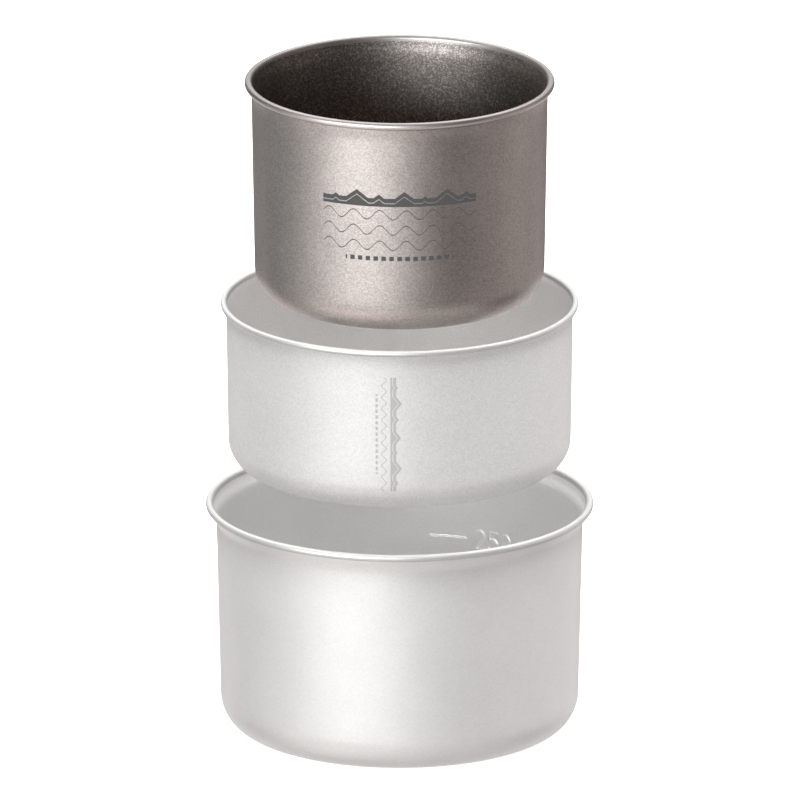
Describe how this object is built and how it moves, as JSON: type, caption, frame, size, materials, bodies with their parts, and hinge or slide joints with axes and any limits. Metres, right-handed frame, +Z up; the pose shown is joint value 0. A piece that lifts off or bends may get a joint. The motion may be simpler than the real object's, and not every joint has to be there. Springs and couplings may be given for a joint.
{
  "type": "cooking pot set",
  "caption": "Nesting set of thin-walled, handle-less metal camping pots with rolled rims, opened out along the axis they nest on.",
  "frame": {"origin": "centre of the underside of the large pot, which is the lowest of the set", "axes": "+Z up, along the axis that the pots nest on; +X to the right and +Y away from the viewer"},
  "size_m": [0.1016, 0.1016, 0.177],
  "materials": {
    "pale_titanium": "satin",
    "blasted_titanium": "satin"
  },
  "bodies": {
    "large_pot": {"large_pot": "pale_titanium"},
    "middle_pot": {"middle_pot": "pale_titanium"},
    "small_pot": {"small_pot": "blasted_titanium"}
  },
  "joints": [
    {"name": "middle_pot_lift", "type": "slide", "parent": "large_pot", "child": "middle_pot", "axis": [0, 0, 1], "range_m": [-0.0703, 0]},
    {"name": "small_pot_lift", "type": "slide", "parent": "middle_pot", "child": "small_pot", "axis": [0, 0, 1], "range_m": [-0.0455, 0]}
  ]
}
